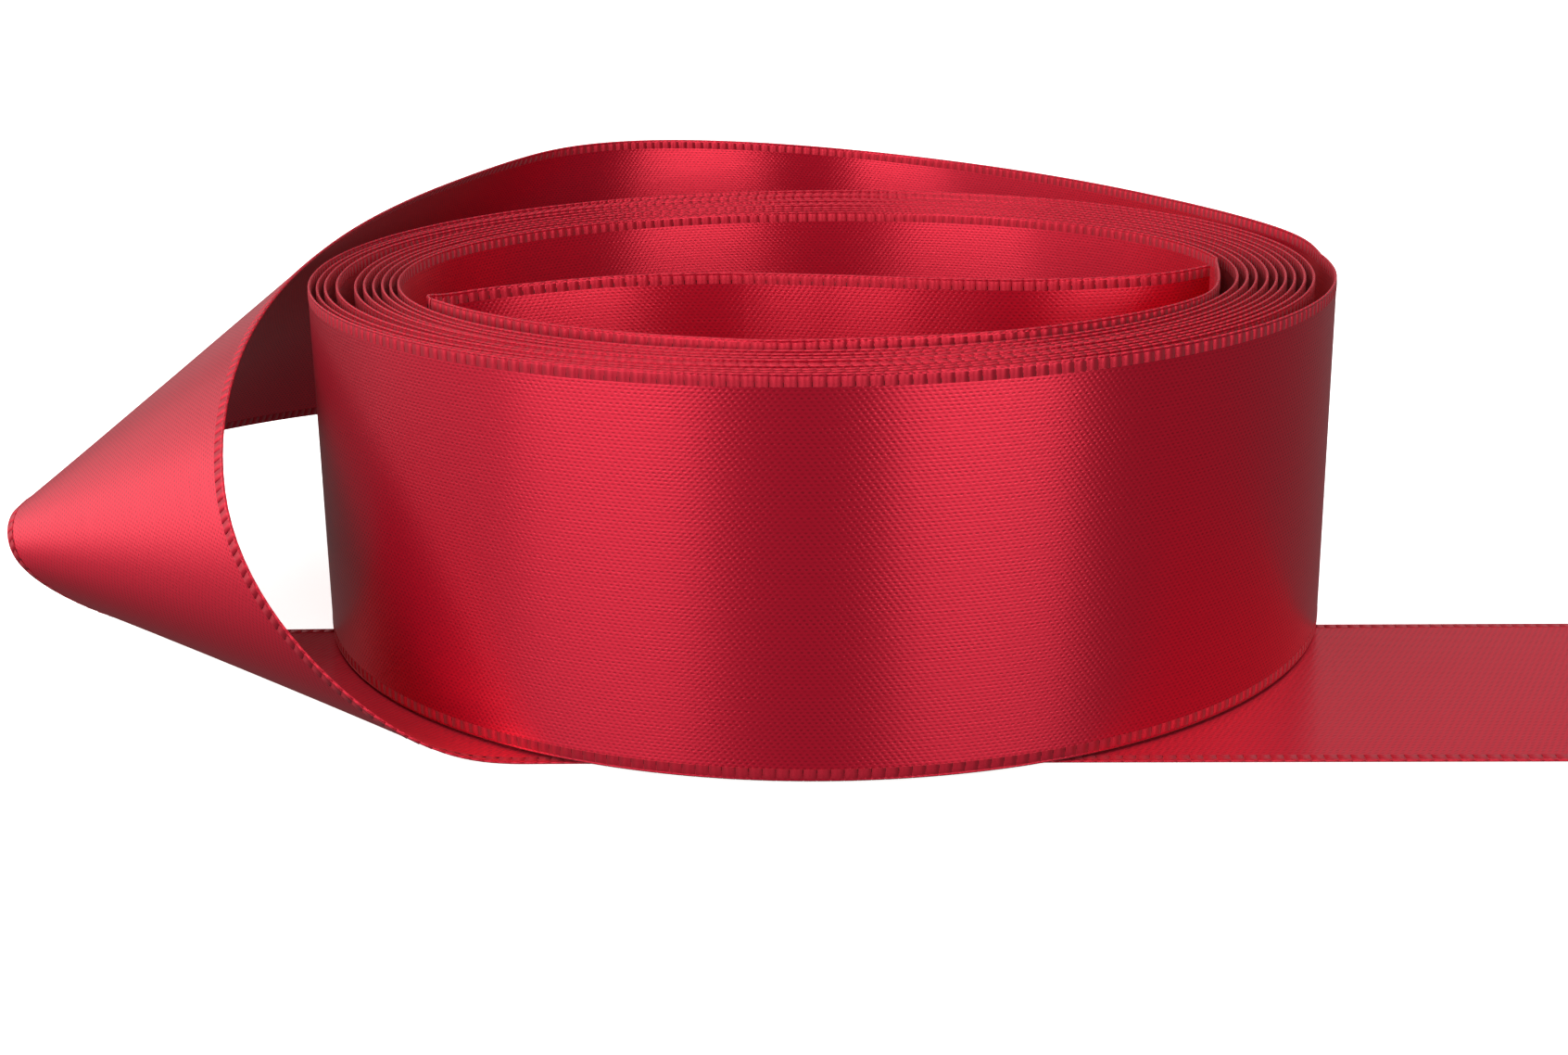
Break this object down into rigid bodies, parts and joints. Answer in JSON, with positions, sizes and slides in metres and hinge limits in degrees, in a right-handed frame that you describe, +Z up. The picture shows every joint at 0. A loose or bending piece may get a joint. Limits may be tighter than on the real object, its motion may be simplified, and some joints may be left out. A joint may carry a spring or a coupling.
{
  "type": "ribbon roll",
  "caption": "Hand-wound roll of wide satin ribbon standing on edge, with a free loop that turns over and runs flat under the roll as a tail.",
  "frame": {"origin": "on the table under the middle of the part's footprint; the middle of the roll is 15.7 mm in front of it", "axes": "+X along the flat run towards the tail, +Y away from the viewer towards the back of the free loop, +Z up"},
  "size_m": [0.1796, 0.1442, 0.0426],
  "materials": {
    "satin": "double-faced satin, deep crimson, woven selvedges"
  },
  "bodies": {
    "resting_ribbon": {"flat_run": "satin", "turned_bight": "satin", "free_loop": "satin", "outer_turn": "satin"},
    "wound_turn_02_body": {"wound_turn_02": "satin"},
    "wound_turn_03_body": {"wound_turn_03": "satin"},
    "wound_turn_04_body": {"wound_turn_04": "satin"},
    "wound_turn_05_body": {"wound_turn_05": "satin"},
    "wound_turn_06_body": {"wound_turn_06": "satin"},
    "wound_turn_07_body": {"wound_turn_07": "satin"},
    "wound_turn_08_body": {"wound_turn_08": "satin"},
    "wound_turn_09_body": {"wound_turn_09": "satin"},
    "wound_turn_10_body": {"wound_turn_10": "satin"},
    "inner_end": {"inner_lining": "satin", "inner_fold": "satin", "inner_chord": "satin"},
    "inner_tip_body": {"inner_tip": "satin"},
    "tail_body": {"tail": "satin"}
  },
  "joints": [
    {"name": "wound_turn_02_rise", "type": "slide", "parent": "resting_ribbon", "child": "wound_turn_02_body", "axis": [0, 0, 1], "range_m": [0, 0.003]},
    {"name": "wound_turn_03_rise", "type": "slide", "parent": "wound_turn_02_body", "child": "wound_turn_03_body", "axis": [0, 0, 1], "range_m": [0, 0.003]},
    {"name": "wound_turn_04_rise", "type": "slide", "parent": "wound_turn_03_body", "child": "wound_turn_04_body", "axis": [0, 0, 1], "range_m": [0, 0.003]},
    {"name": "wound_turn_05_rise", "type": "slide", "parent": "wound_turn_04_body", "child": "wound_turn_05_body", "axis": [0, 0, 1], "range_m": [0, 0.003]},
    {"name": "wound_turn_06_rise", "type": "slide", "parent": "wound_turn_05_body", "child": "wound_turn_06_body", "axis": [0, 0, 1], "range_m": [0, 0.003]},
    {"name": "wound_turn_07_rise", "type": "slide", "parent": "wound_turn_06_body", "child": "wound_turn_07_body", "axis": [0, 0, 1], "range_m": [0, 0.003]},
    {"name": "wound_turn_08_rise", "type": "slide", "parent": "wound_turn_07_body", "child": "wound_turn_08_body", "axis": [0, 0, 1], "range_m": [0, 0.003]},
    {"name": "wound_turn_09_rise", "type": "slide", "parent": "wound_turn_08_body", "child": "wound_turn_09_body", "axis": [0, 0, 1], "range_m": [0, 0.003]},
    {"name": "wound_turn_10_rise", "type": "slide", "parent": "wound_turn_09_body", "child": "wound_turn_10_body", "axis": [0, 0, 1], "range_m": [0, 0.003]},
    {"name": "inner_end_rise", "type": "slide", "parent": "wound_turn_10_body", "child": "inner_end", "axis": [0, 0, 1], "range_m": [0, 0.003]},
    {"name": "inner_tip_swing", "type": "hinge", "parent": "inner_end", "child": "inner_tip_body", "pos_m": [0.00099, -0.02312, 0.02], "axis": [0, 0, 1], "range_deg": [0, 60]},
    {"name": "tail_lift", "type": "hinge", "parent": "resting_ribbon", "child": "tail_body", "pos_m": [0.05799, -0.04922, 0.0004], "axis": [0, -1, 0], "range_deg": [0, 80]}
  ],
  "couplings": [
    {"joint": "wound_turn_03_rise", "follows": "wound_turn_02_rise", "ratio": 1},
    {"joint": "wound_turn_04_rise", "follows": "wound_turn_02_rise", "ratio": 1},
    {"joint": "wound_turn_05_rise", "follows": "wound_turn_02_rise", "ratio": 1},
    {"joint": "wound_turn_06_rise", "follows": "wound_turn_02_rise", "ratio": 1},
    {"joint": "wound_turn_07_rise", "follows": "wound_turn_02_rise", "ratio": 1},
    {"joint": "wound_turn_08_rise", "follows": "wound_turn_02_rise", "ratio": 1},
    {"joint": "wound_turn_09_rise", "follows": "wound_turn_02_rise", "ratio": 1},
    {"joint": "wound_turn_10_rise", "follows": "wound_turn_02_rise", "ratio": 1},
    {"joint": "inner_end_rise", "follows": "wound_turn_02_rise", "ratio": 1}
  ]
}
